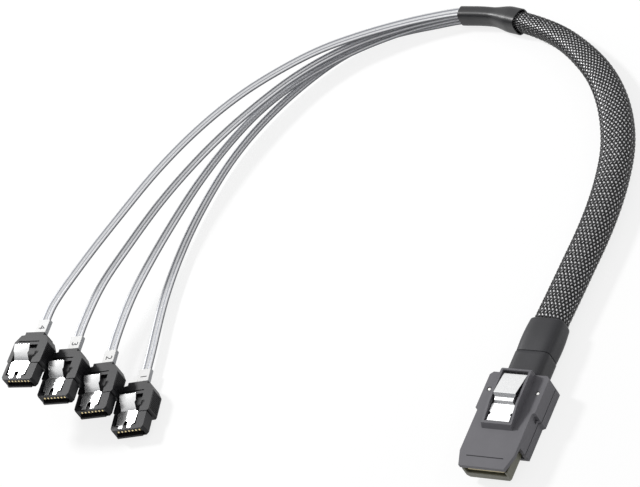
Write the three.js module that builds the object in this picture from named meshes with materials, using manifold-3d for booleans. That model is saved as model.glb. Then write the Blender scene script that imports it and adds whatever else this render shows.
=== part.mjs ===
// Mini SAS breakout cable: one 36-contact internal plug, a sleeved trunk and four latching SATA plugs.
// Millimetres, +Z up. The wide plug lies on its base with its nose toward -Y, its latch on top,
// and the origin in the middle of that base. The trunk leaves toward +Y. The sizes below count y
// from the tip of the nose, and the last lines move the whole lead to the origin.
import * as THREE from 'three';
import { mergeVertices } from 'three/addons/utils/BufferGeometryUtils.js';
import Module from 'manifold-3d';

const wasm = await Module();
wasm.setup();

// Driving dimensions

const GAP = 0.3;                 // clearance between pieces that touch
const FINE_GAP = 0.15;           // clearance of thin parts inside a plug

// Wide plug
const SAS_LENGTH = 33;
const SAS_REAR_WIDTH = 20.4;
const SAS_FRONT_WIDTH = 18.6;
const SAS_NOSE_WIDTH = 15.6;
const SAS_STEP_Y = 20;           // where the rear width starts
const SAS_TAPER_Y = 5.1;         // where the front corners start to narrow
const SAS_HEIGHT = 8.2;
const SAS_SEAM_Z = 3.2;          // split between the two shells
const SAS_PLATE = 1.3;           // thickness of the top plate over the nose
const SAS_MOUTH_Y = 8.5;         // front face of the lower shell
const CAVITY_BACK_Y = 29.5;
const NOSE_WALL = 1.0;
const NOSE_BASE_Z = 1.4;
const NOSE_BACK_Y = 12;
const CARD_THICKNESS = 1.0;
const CARD_COVER = 0.4;          // room over the paddle card
const CARD_BACK_Y = 19;
const PAD_PITCH = 0.72;
const PADS_PER_SIDE = 18;
const PAD_WIDTH = 0.42;
const PAD_LENGTH = 4.5;
const PAD_START_Y = 1.4;
const PAD_RISE = 0.05;
const FRAME_WIDTH = 10.4;        // raised wall round the latch
const FRAME_WALL = 0.8;
const FRAME_FRONT_Y = 13.2;
const FRAME_FRONT_RISE = 1.6;
const FRAME_REAR_RISE = 2.8;
const POCKET_DEPTH = 1.0;
const LATCH_SHEET = 0.4;
const LATCH_SIDE_GAP = 0.3;
const LATCH_TAIL_GAP = 0.8;      // free end of the thumb plate to the back wall
const PIN_RADIUS = 0.6;
const PIN_X = 8.3;
const PIN_Y = 26.8;
const PIN_BASE_Z = 1.8;
const PIN_WALL = 0.4;            // material between a pin's hole and the cavity
const SIDE_NOTCH_Y = 19.2;

// Boot, sleeve and shrink tube
const BOOT_WIDTH = 11.8;
const BOOT_HEIGHT = 7.6;
const BOOT_END_Y = 54;
const BOOT_SHOULDER_Y = 41.5;
const TRUNK_Z = SAS_HEIGHT / 2;  // the cables leave at mid height
const SLEEVE_WIDTH = 11;
const SLEEVE_HEIGHT = 7;
const SLEEVE_END_WIDTH = 6.2;
const SLEEVE_WALL = 0.45;
const SHRINK_WIDTH = 5.2;
const SHRINK_HEIGHT = 6.5;
const SHRINK_WALL = 0.35;
const SHRINK_LAP = 5;            // length of shrink tube over the sleeve

// Ribbon cables: two shielded pairs side by side in one jacket
const RIBBON_WIDTH = 3.7;
const RIBBON_THICKNESS = 1.05;
const STACK_PITCH = 1.32;
const PAIR_SPREAD = 2;           // sideways place of a ribbon near the wide plug
const LABEL_LENGTH = 6;
const LABEL_WALL = 0.2;

// SATA plug, along its own -Y
const PLUG_LENGTH = 18.5;
const PLUG_WIDTH = 13;
const PLUG_FRONT_WIDTH = 11.9;
const PLUG_HEIGHT = 5.6;
const PLUG_SPLIT_Y = 6.5;        // joint of front housing and rear body
const FRONT_BASE_Z = 1.5;        // underside of the thinner front housing
const CABLE_Z = 2.8;
const CORE_LENGTH = 5.5;
const CORE_WIDTH = 9.6;
const CORE_BASE_Z = 1.9;
const CORE_TOP_Z = 2.9;
const CONTACT_PITCH = 1.27;
const CONTACTS = 7;
const CONTACT_WIDTH = 0.5;
const CONTACT_SHEET = 0.2;
const CONTACT_X = 0.4;           // middle of the contact row
const MOUTH_Z = 2.7;
const MOUTH_HEIGHT = 1.3;
const MOUTH_DEPTH = 5;
const TAB_X = -0.95;             // middle of the latch
const TAB_SHEET = 0.3;
const TAB_POCKET_WIDTH = 8;
const TAB_POCKET_DEPTH = 1.2;
const TAB_POCKET_BACK_Y = 13.6;
const GRIP_RIDGES = 10;
const GRIP_PITCH = 0.66;
const GRIP_DEPTH = 0.22;

// Plugs lie stepped like stairs, each on the left rim of the one before
const PLUG_OVERHANG = 1.5;       // how far a plug lies over the next lower one
const FIRST_PLUG = { x: -133.5, y: 1.2, turn: 14 };
const NEXT_PLUGS = [
  { setback: 5.0, turn: 12.5 },
  { setback: 2.7, turn: 9.5 },
  { setback: 3.2, turn: 6.5 },
];

// Cable routes, chosen by hand
const TRUNK_POINTS = [
  [0, 54], [0.5, 64], [1, 76], [1.4, 86], [1.2, 97], [0, 108.5], [-2.6, 120.5], [-6.6, 130.5], [-12.4, 140.5],
  [-20, 149.8], [-29.5, 158], [-40, 164.8], [-51.5, 169.6], [-62, 172.4], [-72, 173.8], [-82, 174],
];
const RIBBON_POINTS = {
  4: [[-92.5, 171.6, 6.3], [-103, 168, 6.8], [-116, 162, 7.8], [-128.3, 154.3, 9.1], [-139, 143.9, 10.7],
    [-148.5, 130.9, 12.7], [-156.2, 115, 14.8], [-162, 95.5, 17.2], [-166.4, 73, 19.2], [-170.4, 52, 20.3]],
  3: [[-92.5, 171.4, 4.95], [-103, 167.6, 5.2], [-115.5, 161.3, 5.8], [-126.5, 153, 6.5], [-136, 142.4, 7.4],
    [-144.4, 128, 8.8], [-150.4, 114.6, 10.1], [-155, 100.5, 11.4], [-158.8, 84.3, 12.7], [-161.4, 66, 13.9],
    [-163.4, 49, 14.5]],
  2: [[-92.5, 171.3, 3.55], [-103, 167.3, 3.65], [-115, 160.8, 3.9], [-126.3, 152.3, 4.3], [-136.6, 141.8, 4.8],
    [-143.8, 130.2, 5.4], [-149, 115.6, 6.1], [-152.4, 98.2, 7], [-154, 80, 7.8], [-154.7, 62, 8.4], [-154.4, 48, 8.7]],
  1: [[-92.5, 171.6, 2.1], [-103, 168.8, 2.1], [-112.8, 165, 2.1], [-124.6, 156.3, 2.2], [-134.9, 143.1, 2.3],
    [-143.5, 126.2, 2.4], [-148.1, 110, 2.5], [-150, 89.4, 2.6], [-149.4, 72, 2.7], [-146.6, 53, 2.8]],
};

// Materials

const material = (color, roughness, metalness = 0) =>
  new THREE.MeshStandardMaterial({ color, roughness, metalness });

const blackShell = material(0x2b2b2e, 0.55);
const blackBoot = material(0x1c1c1e, 0.7);
const blackHousing = material(0x1a1a1c, 0.5);
const oliveNose = material(0x55563f, 0.45);
const cardBoard = material(0xcbb98a, 0.6);
const gold = material(0xd8b24a, 0.3, 1);
const steel = material(0xd9dadc, 0.25, 1);
const moldBlock = material(0x2a2a2a, 0.6);
const braid = material(0x202022, 0.8);
const shrinkTube = material(0x151516, 0.45);
const silverJacket = material(0xb9bbbf, 0.35, 0.2);
const labelFilm = material(0xf4f4f2, 0.6);

// Geometry helpers

const assembly = new THREE.Group();

function addMesh(parent, name, geometry, look) {
  const mesh = new THREE.Mesh(geometry, look);
  mesh.name = name;
  parent.add(mesh);
  return mesh;
}

function block(x0, x1, y0, y1, z0, z1) {
  const box = new THREE.BoxGeometry(x1 - x0, y1 - y0, z1 - z0);
  return box.translate((x0 + x1) / 2, (y0 + y1) / 2, (z0 + z1) / 2);
}

function shapeOf(points) {
  return new THREE.Shape(points.map(([a, b]) => new THREE.Vector2(a, b)));
}

// Upright prism over an outline in plan
function plate(points, z0, z1) {
  return new THREE.ExtrudeGeometry(shapeOf(points), { depth: z1 - z0, bevelEnabled: false }).translate(0, 0, z0);
}

// Prism along X whose outline is given as y, z pairs
function sideProfile(points, x0, x1) {
  const prism = new THREE.ExtrudeGeometry(shapeOf(points), { depth: x1 - x0, bevelEnabled: false });
  const cycle = new THREE.Matrix4().set(0, 0, 1, x0, 1, 0, 0, 0, 0, 1, 0, 0, 0, 0, 0, 1);
  return prism.applyMatrix4(cycle);
}

function mirrored(rightSide) {
  const leftSide = rightSide.map(([x, y]) => [-x, y]).reverse();
  return [...rightSide, ...leftSide];
}

// Outline of a bent sheet: its top line, and the same line moved down by the thickness
function bentSheet(line, thickness) {
  const lower = line.map(([a, b], i) => {
    const [a0, b0] = line[Math.max(i - 1, 0)];
    const [a1, b1] = line[Math.min(i + 1, line.length - 1)];
    const before = Math.atan2(b - b0, a - a0);
    const after = Math.atan2(b1 - b, a1 - a);
    const first = i === 0 ? after : before;
    const last = i === line.length - 1 ? before : after;
    const middle = (first + last) / 2;
    const reach = thickness / Math.cos((last - first) / 2);
    return [a + Math.sin(middle) * reach, b - Math.cos(middle) * reach];
  });
  return [...lower, ...line.slice().reverse()];
}

function toSolid(geometry) {
  const bare = new THREE.BufferGeometry();
  bare.setAttribute('position', geometry.getAttribute('position').clone());
  if (geometry.index) bare.setIndex(geometry.index.clone());
  const merged = mergeVertices(bare, 1e-4);
  return new wasm.Manifold(new wasm.Mesh({
    numProp: 3,
    vertProperties: new Float32Array(merged.getAttribute('position').array),
    triVerts: new Uint32Array(merged.index.array),
  }));
}

function toGeometry(solid) {
  const mesh = solid.getMesh();
  const geometry = new THREE.BufferGeometry();
  geometry.setAttribute('position', new THREE.BufferAttribute(new Float32Array(mesh.vertProperties), 3));
  geometry.setIndex(new THREE.BufferAttribute(new Uint32Array(mesh.triVerts), 1));
  geometry.computeVertexNormals();
  return geometry;
}

const joined = (pieces) => pieces.map(toSolid).reduce((sum, piece) => sum.add(piece));

function carve(pieces, cuts) {
  const body = joined(pieces);
  return toGeometry(cuts.length ? body.subtract(joined(cuts)) : body);
}

function common(a, b) {
  return toGeometry(toSolid(a).intersect(toSolid(b)));
}

// Rounded oval outline with even steps round its edge
function ovalPoints(width, height, sides, squareness = 3) {
  const power = 2 / squareness;
  const bend = (value) => Math.sign(value) * Math.abs(value) ** power;
  return Array.from({ length: sides }, (_, i) => {
    const angle = ((i + 0.5) / sides) * Math.PI * 2;
    return [bend(Math.cos(angle)) * width / 2, bend(Math.sin(angle)) * height / 2];
  });
}

// Straight prism of a section, bent so that it follows a path; sizes may change along it
function followPath(section, hole, steps, placeAt) {
  const shape = shapeOf(section);
  if (hole) shape.holes.push(new THREE.Path(hole.map(([a, b]) => new THREE.Vector2(a, b))));
  const prism = new THREE.ExtrudeGeometry(shape, { depth: 1, steps, bevelEnabled: false });
  const position = prism.getAttribute('position');
  for (let i = 0; i < position.count; i += 1) {
    const point = placeAt(position.getZ(i), position.getX(i), position.getY(i));
    position.setXYZ(i, point.x, point.y, point.z);
  }
  prism.computeVertexNormals();
  return prism;
}

const UP = new THREE.Vector3(0, 0, 1);

// Point beside a curve: across is to the left of travel, rise is straight up
function besideCurve(curve, t, across, rise) {
  const side = new THREE.Vector3().crossVectors(UP, curve.getTangentAt(t)).normalize();
  const up = new THREE.Vector3().crossVectors(curve.getTangentAt(t), side);
  return curve.getPointAt(t).addScaledVector(side, across).addScaledVector(up, rise);
}

const smooth = (t) => {
  const u = Math.min(Math.max(t, 0), 1);
  return u * u * (3 - 2 * u);
};

const curveThrough = (points) => {
  const curve = new THREE.CatmullRomCurve3(points.map((p) => new THREE.Vector3(...p)), false, 'centripetal');
  curve.arcLengthDivisions = 600;
  return curve;
};

// Wide plug

const frameHalf = FRAME_WIDTH / 2;
const pocketHalf = frameHalf - FRAME_WALL;
const frameFrontTop = SAS_HEIGHT + FRAME_FRONT_RISE;
const frameRearTop = SAS_HEIGHT + FRAME_REAR_RISE;
const pocketFrontY = FRAME_FRONT_Y + 1.8;
const pocketBackY = SAS_LENGTH - FRAME_WALL;
const pocketFloor = SAS_HEIGHT - POCKET_DEPTH;
const plateUnderside = SAS_HEIGHT - SAS_PLATE;
const shroudRoomHalf = SAS_NOSE_WIDTH / 2 + GAP;
const cavityHalf = PIN_X - PIN_RADIUS - FINE_GAP - PIN_WALL;
const cavityTop = pocketFloor - 0.9;
const ribbonSlotHalf = PAIR_SPREAD + RIBBON_WIDTH / 2 + GAP;
const ribbonSlotRise = (STACK_PITCH + RIBBON_THICKNESS) / 2 + GAP;

function sasOutline(startY) {
  const rearHalf = SAS_REAR_WIDTH / 2;
  const frontHalf = SAS_FRONT_WIDTH / 2;
  const front = startY < SAS_TAPER_Y
    ? [[SAS_NOSE_WIDTH / 2 - 0.1, startY], [frontHalf, SAS_TAPER_Y]]
    : [[frontHalf, startY]];
  return mirrored([
    ...front, [frontHalf, SAS_STEP_Y - 0.5], [rearHalf, SAS_STEP_Y], [rearHalf, SAS_LENGTH - 1], [rearHalf - 1, SAS_LENGTH],
  ]);
}

function sideNotches(z0, z1) {
  const outer = SAS_REAR_WIDTH / 2 + 1;
  const inner = SAS_FRONT_WIDTH / 2 - 0.5;
  return [-1, 1].map((side) => block(
    Math.min(side * inner, side * outer), Math.max(side * inner, side * outer),
    SIDE_NOTCH_Y - 0.7, SIDE_NOTCH_Y + 0.7, z0, z1,
  ));
}

function pinAt(side, radius, z0, z1) {
  const pin = new THREE.CylinderGeometry(radius, radius, z1 - z0, 20).rotateX(Math.PI / 2);
  return pin.translate(side * PIN_X, PIN_Y, (z0 + z1) / 2);
}

const pinHoles = (z0, z1) => [-1, 1].map((side) => pinAt(side, PIN_RADIUS + FINE_GAP, z0, z1));

// Room inside the shells: wide for the nose shroud, narrower behind it
function cavityRooms(z0, z1) {
  return [
    block(-shroudRoomHalf, shroudRoomHalf, SAS_MOUTH_Y - 1, NOSE_BACK_Y + GAP, z0, z1),
    block(-cavityHalf, cavityHalf, NOSE_BACK_Y, CAVITY_BACK_Y, z0, z1),
  ];
}

function upperShell() {
  const roof = plate(sasOutline(0), plateUnderside, SAS_HEIGHT);
  const walls = plate(sasOutline(SAS_MOUTH_Y), SAS_SEAM_Z + GAP / 2, SAS_HEIGHT);
  const frame = sideProfile([
    [FRAME_FRONT_Y, plateUnderside], [SAS_LENGTH, plateUnderside], [SAS_LENGTH, frameRearTop - 0.3],
    [SAS_LENGTH - 0.6, frameRearTop], [21, frameRearTop], [pocketFrontY, frameFrontTop],
    [FRAME_FRONT_Y + 1, frameFrontTop], [FRAME_FRONT_Y, SAS_HEIGHT],
  ], -frameHalf, frameHalf);
  const pocket = block(-pocketHalf, pocketHalf, pocketFrontY, pocketBackY, pocketFloor, frameRearTop + 1);
  const ledgeTop = frameFrontTop - 0.3 - LATCH_SHEET - GAP;
  const ledge = block(-pocketHalf - 0.2, pocketHalf + 0.2, pocketFrontY - 0.2, pocketFrontY + 1.3, pocketFloor - 0.5, ledgeTop);
  const rooms = cavityRooms(SAS_SEAM_Z - 1, cavityTop);
  const exit = block(
    -ribbonSlotHalf, ribbonSlotHalf, CAVITY_BACK_Y - 1, SAS_LENGTH + 1, SAS_SEAM_Z - 1, TRUNK_Z + ribbonSlotRise,
  );
  const groove = block(-6.4, 6.2, 3.4, 3.7, SAS_HEIGHT - 0.3, SAS_HEIGHT + 1);
  const shell = joined([roof, walls, frame])
    .subtract(joined([pocket]))
    .add(joined([ledge]))
    .subtract(joined([...rooms, exit, groove, ...sideNotches(SAS_SEAM_Z + 1.2, 6.6)]))
    .subtract(joined(pinHoles(SAS_SEAM_Z - 1, SAS_HEIGHT + 1)));
  return toGeometry(shell);
}

function lowerShell() {
  const floor = plate(sasOutline(SAS_MOUTH_Y), 0, SAS_SEAM_Z - GAP / 2);
  const rooms = cavityRooms(NOSE_BASE_Z - GAP, SAS_SEAM_Z + 1);
  const exit = block(
    -ribbonSlotHalf, ribbonSlotHalf, CAVITY_BACK_Y - 1, SAS_LENGTH + 1, TRUNK_Z - ribbonSlotRise, SAS_SEAM_Z + 1,
  );
  return carve([floor], [...rooms, exit, ...pinHoles(PIN_BASE_Z - GAP, SAS_SEAM_Z + 1)]);
}

const cardTop = cavityTop - CARD_COVER;
const cardBase = cardTop - CARD_THICKNESS;
const cardHalf = SAS_NOSE_WIDTH / 2 - NOSE_WALL - FINE_GAP;

// Open channel round the card's edge: floor and two side walls
function noseShroud() {
  const half = SAS_NOSE_WIDTH / 2;
  const outline = [
    [-half + 1, NOSE_BASE_Z], [half - 1, NOSE_BASE_Z], [half, NOSE_BASE_Z + 1], [half, cavityTop - GAP],
    [-half, cavityTop - GAP], [-half, NOSE_BASE_Z + 1],
  ];
  const body = new THREE.ExtrudeGeometry(shapeOf(outline), { depth: NOSE_BACK_Y - 0.3, bevelEnabled: false });
  body.rotateX(Math.PI / 2).translate(0, NOSE_BACK_Y, 0);
  const channel = block(-half + NOSE_WALL, half - NOSE_WALL, -1, NOSE_BACK_Y + 1, cardBase - 0.9, SAS_HEIGHT);
  return carve([body], [channel]);
}

// Card between the shroud's walls, with plated pads on both faces of its front edge
function paddleCard() {
  const card = plate(mirrored([
    [cardHalf - 0.6, 0.9], [cardHalf, 1.5], [cardHalf, CARD_BACK_Y],
  ]), cardBase, cardTop);
  const rowWidth = (PADS_PER_SIDE - 1) * PAD_PITCH;
  const pads = Array.from({ length: PADS_PER_SIDE }, (_, i) => {
    const x = i * PAD_PITCH - rowWidth / 2;
    return block(
      x - PAD_WIDTH / 2, x + PAD_WIDTH / 2, PAD_START_Y, PAD_START_Y + PAD_LENGTH, cardBase - PAD_RISE, cardTop + PAD_RISE,
    );
  });
  return carve([card, ...pads], []);
}

// Block moulded round the soldered ends, with a slot for the card and one for the ribbons
function terminationBlock() {
  const half = cavityHalf - GAP;
  const body = block(-half, half, 14, CAVITY_BACK_Y - GAP, NOSE_BASE_Z, cavityTop - GAP);
  const cardSlot = block(-cardHalf - GAP, cardHalf + GAP, 13, CARD_BACK_Y + GAP, cardBase - GAP, cavityTop);
  const ribbonSlot = block(
    -ribbonSlotHalf, ribbonSlotHalf, CARD_BACK_Y, CAVITY_BACK_Y, TRUNK_Z - ribbonSlotRise, TRUNK_Z + ribbonSlotRise,
  );
  return carve([body], [cardSlot, ribbonSlot]);
}

const sasHinge = { y: pocketFrontY + GAP, z: frameFrontTop - 0.3 - LATCH_SHEET / 2 };

function sasLatch() {
  const top = frameFrontTop - 0.3;
  const line = [
    [sasHinge.y, top], [21, top + 0.4], [21.6, top + 1.3], [22.6, top + 1.5], [23.6, top + 2.5],
    [pocketBackY - LATCH_TAIL_GAP, top + 0.9],
  ];
  const sheet = sideProfile(bentSheet(line, LATCH_SHEET), -pocketHalf, pocketHalf);
  const widest = pocketHalf - LATCH_SIDE_GAP;
  const outline = mirrored([
    [widest - 0.3, 14], [widest - 0.3, 17.2], [widest - 0.7, 17.5], [widest - 0.7, 18], [widest, 18.3], [widest, 20.6],
    [widest - 0.9, 21.3], [widest - 0.9, 22.6], [widest - 0.4, 23.2], [widest, SAS_LENGTH - 0.5],
  ]);
  return common(sheet, plate(outline, 0, 30));
}

addMesh(assembly, 'sas_upper_shell', upperShell(), blackShell);
addMesh(assembly, 'sas_lower_shell', lowerShell(), blackShell);
addMesh(assembly, 'sas_nose_shroud', noseShroud(), oliveNose);
addMesh(assembly, 'sas_paddle_card', paddleCard(), cardBoard);
addMesh(assembly, 'sas_termination_block', terminationBlock(), moldBlock);
addMesh(assembly, 'sas_latch', sasLatch(), steel);
for (const [side, name] of [[-1, 'sas_pin_left'], [1, 'sas_pin_right']]) {
  addMesh(assembly, name, pinAt(side, PIN_RADIUS, PIN_BASE_Z, SAS_HEIGHT - 0.05), steel);
}

// Boot, sleeve and shrink tube

function strainReliefBoot() {
  const length = BOOT_END_Y - SAS_LENGTH - GAP;
  const shoulder = (BOOT_SHOULDER_Y - SAS_LENGTH) / length;
  const channelHalf = ribbonSlotHalf;
  const outer = followPath(ovalPoints(1, 1, 16, 5), null, 10, (t, across, rise) => {
    const bulge = t < shoulder ? 0 : 0.5 * Math.sin(Math.PI * (t - shoulder) / (1 - shoulder));
    const width = BOOT_WIDTH + bulge;
    const height = BOOT_HEIGHT + bulge * 0.6;
    return new THREE.Vector3(-across * width, SAS_LENGTH + GAP + t * length, TRUNK_Z + rise * height);
  });
  const spigotLength = 4;
  const spigot = followPath(ovalPoints(SLEEVE_WIDTH - 2 * SLEEVE_WALL - 2 * GAP, SLEEVE_HEIGHT - 2 * SLEEVE_WALL - 2 * GAP, 16, 3),
    null, 1, (t, across, rise) => new THREE.Vector3(-across, BOOT_END_Y - 0.5 + t * (spigotLength + 0.5), TRUNK_Z + rise));
  const channel = block(
    -channelHalf, channelHalf, SAS_LENGTH - 1, BOOT_END_Y + spigotLength + 1,
    TRUNK_Z - ribbonSlotRise, TRUNK_Z + ribbonSlotRise,
  );
  return carve([outer, spigot], [channel]);
}

const trunkCurve = curveThrough(TRUNK_POINTS.map(([x, y]) => [x, y, TRUNK_Z]));
const trunkLength = trunkCurve.getLength();
const shrinkLength = 24;
const sleeveStart = GAP / trunkLength;
const sleeveEnd = 1 - (shrinkLength - SHRINK_LAP) / trunkLength;
const taperStart = 0.42;

// Sleeve width at a place on the trunk, from 0 at the boot to 1 at the breakout
function sleeveWidthAt(t) {
  return THREE.MathUtils.lerp(SLEEVE_WIDTH, SLEEVE_END_WIDTH, smooth((t - taperStart) / (sleeveEnd - taperStart)));
}

function braidedSleeve() {
  const outer = ovalPoints(1, 1, 16, 4);
  const hole = outer.map(([a, b]) => [a * 0.5, b * 0.5]);
  return followPath(outer, hole, 26, (u, across, rise) => {
    const t = THREE.MathUtils.lerp(sleeveStart, sleeveEnd, u);
    const isInner = Math.hypot(across, rise) < 0.37;
    const share = isInner ? 2 : 1;
    const wall = isInner ? 2 * SLEEVE_WALL : 0;
    return besideCurve(trunkCurve, t, across * share * (sleeveWidthAt(t) - wall), rise * share * (SLEEVE_HEIGHT - wall));
  });
}

function breakoutShrink() {
  const outer = ovalPoints(1, 1, 16, 4);
  const hole = outer.map(([a, b]) => [a * 0.5, b * 0.5]);
  const start = sleeveEnd - SHRINK_LAP / trunkLength;
  const clear = 2 * (GAP + SHRINK_WALL);
  return followPath(outer, hole, 12, (u, across, rise) => {
    const t = THREE.MathUtils.lerp(start, 1, u);
    const isInner = Math.hypot(across, rise) < 0.37;
    const share = isInner ? 2 : 1;
    const wall = isInner ? 2 * SHRINK_WALL : 0;
    const open = 1 - smooth((u - 0.22) / 0.22);
    const width = THREE.MathUtils.lerp(SHRINK_WIDTH, sleeveWidthAt(start) + clear, open) - wall;
    const height = THREE.MathUtils.lerp(SHRINK_HEIGHT, SLEEVE_HEIGHT + clear, open) - wall;
    return besideCurve(trunkCurve, t, across * share * width, rise * share * height);
  });
}

addMesh(assembly, 'strain_relief_boot', strainReliefBoot(), blackBoot);
addMesh(assembly, 'braided_sleeve', braidedSleeve(), braid);
addMesh(assembly, 'breakout_shrink', breakoutShrink(), shrinkTube);

// SATA plugs

const plugStep = PLUG_HEIGHT + GAP;
const contactXs = Array.from({ length: CONTACTS }, (_, i) => CONTACT_X + (i - (CONTACTS - 1) / 2) * CONTACT_PITCH);
const tabPocketFloor = PLUG_HEIGHT - TAB_POCKET_DEPTH;
const mouthTop = MOUTH_Z + MOUTH_HEIGHT;
const pocketLeft = TAB_X - TAB_POCKET_WIDTH / 2;
const pocketRight = TAB_X + TAB_POCKET_WIDTH / 2;
const plugHinge = { y: 0.65, z: PLUG_HEIGHT - 0.1 - TAB_SHEET / 2 };

function frontHousing() {
  const half = PLUG_FRONT_WIDTH / 2;
  const back = PLUG_SPLIT_Y - GAP / 2;
  const body = plate(mirrored([[half - 0.6, 0], [half, 0.9], [half, back]]), FRONT_BASE_Z, PLUG_HEIGHT);
  const core = block(-CORE_WIDTH / 2, CORE_WIDTH / 2, back - 0.5, back + CORE_LENGTH, CORE_BASE_Z, CORE_TOP_Z);
  const lip = block(-4.9, 5.1, -0.6, 0.5, MOUTH_Z - 0.8, MOUTH_Z);
  const pocket = block(pocketLeft, pocketRight, 1.6, back + 1, tabPocketFloor, PLUG_HEIGHT + 1);
  const channels = [-1, 1].map((side) => block(
    TAB_X + side * 1.525 - 0.925, TAB_X + side * 1.525 + 0.925, 0.5, 2, plugHinge.z - 0.35, PLUG_HEIGHT + 1,
  ));
  const mouth = block(-4.5, 5.3, -1, MOUTH_DEPTH, MOUTH_Z, mouthTop);
  const keyLeg = block(4.4, 5.3, -1, MOUTH_DEPTH, MOUTH_Z - 0.9, MOUTH_Z + 0.1);
  const tipWindows = contactXs.map((x) => block(x - 0.42, x + 0.42, -1, 1.8, mouthTop - 0.1, 4.9));
  const backSlots = contactXs.map((x) => block(x - 0.4, x + 0.4, MOUTH_DEPTH - 0.1, back + 1, CORE_TOP_Z, mouthTop - 0.1));
  return carve([body, core, lip], [pocket, ...channels, mouth, keyLeg, ...tipWindows, ...backSlots]);
}

function rearBody() {
  const half = PLUG_WIDTH / 2;
  const front = PLUG_SPLIT_Y + GAP / 2;
  const coreBack = PLUG_SPLIT_Y - GAP / 2 + CORE_LENGTH;
  const body = plate(mirrored([
    [half - 0.35, front], [half, front + 0.5], [half, 14.6], [4.9, 17.2], [3.6, 17.4], [3.6, PLUG_LENGTH],
  ]), 0, PLUG_HEIGHT);
  const pocket = block(pocketLeft, pocketRight, front - 1, TAB_POCKET_BACK_Y, tabPocketFloor, PLUG_HEIGHT + 1);
  const slot = block(pocketLeft, pocketRight, 14.7, 15.1, PLUG_HEIGHT - 0.6, PLUG_HEIGHT + 1);
  const coreRoom = block(
    -CORE_WIDTH / 2 - GAP, CORE_WIDTH / 2 + GAP, front - 1, coreBack + GAP, CORE_BASE_Z - GAP, CORE_TOP_Z + 0.7,
  );
  const cableHole = block(
    -RIBBON_WIDTH / 2 - GAP, RIBBON_WIDTH / 2 + GAP, coreBack, PLUG_LENGTH + 1,
    CABLE_Z - RIBBON_THICKNESS / 2 - GAP, CABLE_Z + RIBBON_THICKNESS / 2 + GAP,
  );
  const grooves = [];
  for (let i = 0; i < GRIP_RIDGES; i += 1) {
    const y = front + 1.2 + i * GRIP_PITCH;
    grooves.push(block(half - GRIP_DEPTH, half + 1, y, y + GRIP_PITCH / 2, 0.6, PLUG_HEIGHT - 0.7));
    grooves.push(block(-half - 1, -half + GRIP_DEPTH, y, y + GRIP_PITCH / 2, 0.6, PLUG_HEIGHT - 0.7));
  }
  return carve([body], [pocket, slot, coreRoom, cableHole, ...grooves]);
}

// Seven spring contacts whose tails are moulded into one wafer
function contactWafer() {
  const tailZ = CORE_TOP_Z + 0.35;
  const line = [[0.45, 4.75], [1.35, 3.85], [4.5, 3.85], [5.5, tailZ], [PLUG_SPLIT_Y + CORE_LENGTH - 0.4, tailZ]];
  const contacts = contactXs.map((x) => sideProfile(
    bentSheet(line, CONTACT_SHEET), x - CONTACT_WIDTH / 2, x + CONTACT_WIDTH / 2,
  ));
  const waferHalf = (CONTACTS * CONTACT_PITCH) / 2;
  const waferBack = PLUG_SPLIT_Y + CORE_LENGTH - 0.8;
  const wafer = block(
    CONTACT_X - waferHalf, CONTACT_X + waferHalf, waferBack - 2.4, waferBack, CORE_TOP_Z + 0.1, CORE_TOP_Z + 0.55,
  );
  return carve([...contacts, wafer], []);
}

// Spring latch: two prongs at the front, a flat plate and a raised thumb tab
function plugLatch() {
  const top = PLUG_HEIGHT - 0.1;
  const line = [[plugHinge.y, top], [7.3, top], [9.3, top + 1.7], [12.1, top + 2.7]];
  const sheet = sideProfile(bentSheet(line, TAB_SHEET), TAB_X - 4, TAB_X + 4);
  const outline = mirrored([
    [0.75, 0.3], [2.3, 0.3], [2.3, 1.9], [3.3, 2.2], [3.7, 6.7], [2.8, 7.2], [2.6, 9.3], [3, 9.8], [3, 12.6],
  ]).map(([x, y]) => [x + TAB_X, y]);
  const fork = new THREE.CylinderGeometry(0.75, 0.75, 30, 16).rotateX(Math.PI / 2).translate(TAB_X, 2.6, 0);
  const gap = block(TAB_X - 0.75, TAB_X + 0.75, 0, 2.6, -5, 15);
  const flat = toSolid(sheet).intersect(toSolid(plate(outline, 0, 30)));
  return toGeometry(flat.subtract(joined([fork, gap])));
}

// Place of every plug: each lies one step higher, over the left rim of the one before
function plugPlaces() {
  const places = [{ number: 1, ...FIRST_PLUG, z: 0 }];
  NEXT_PLUGS.forEach((next, i) => {
    const last = places[i];
    const turn = THREE.MathUtils.degToRad(last.turn);
    const across = PLUG_OVERHANG - PLUG_WIDTH;
    places.push({
      number: last.number + 1,
      x: last.x + Math.cos(turn) * across - Math.sin(turn) * next.setback,
      y: last.y + Math.sin(turn) * across + Math.cos(turn) * next.setback,
      z: last.z + plugStep,
      turn: next.turn,
    });
  });
  return places;
}

function labelSleeve(length) {
  const inner = [RIBBON_WIDTH / 2 + FINE_GAP, RIBBON_THICKNESS / 2 + FINE_GAP];
  const outer = inner.map((size) => size + LABEL_WALL);
  const body = block(-outer[0], outer[0], 0, length, -outer[1], outer[1]);
  return carve([body], [block(-inner[0], inner[0], -1, length + 1, -inner[1], inner[1])]);
}

// Ribbon jacket, flat with rounded edges
function ribbonSection() {
  const w = RIBBON_WIDTH / 2;
  const t = RIBBON_THICKNESS / 2;
  return [[w * 0.78, -t], [w, -t * 0.4], [w, t * 0.4], [w * 0.78, t], [-w * 0.78, t], [-w, t * 0.4], [-w, -t * 0.4], [-w * 0.78, -t]];
}

// Where each ribbon lies in the trunk: side by side in pairs at the wide plug, one stack at the breakout
const STACK_SLOT = { 4: 1.5, 3: 0.5, 2: -0.5, 1: -1.5 };
const PAIR_SLOT = { 4: [1, 0.5], 3: [-1, 0.5], 2: [1, -0.5], 1: [-1, -0.5] };
const TRUNK_STEPS = 26;

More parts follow.
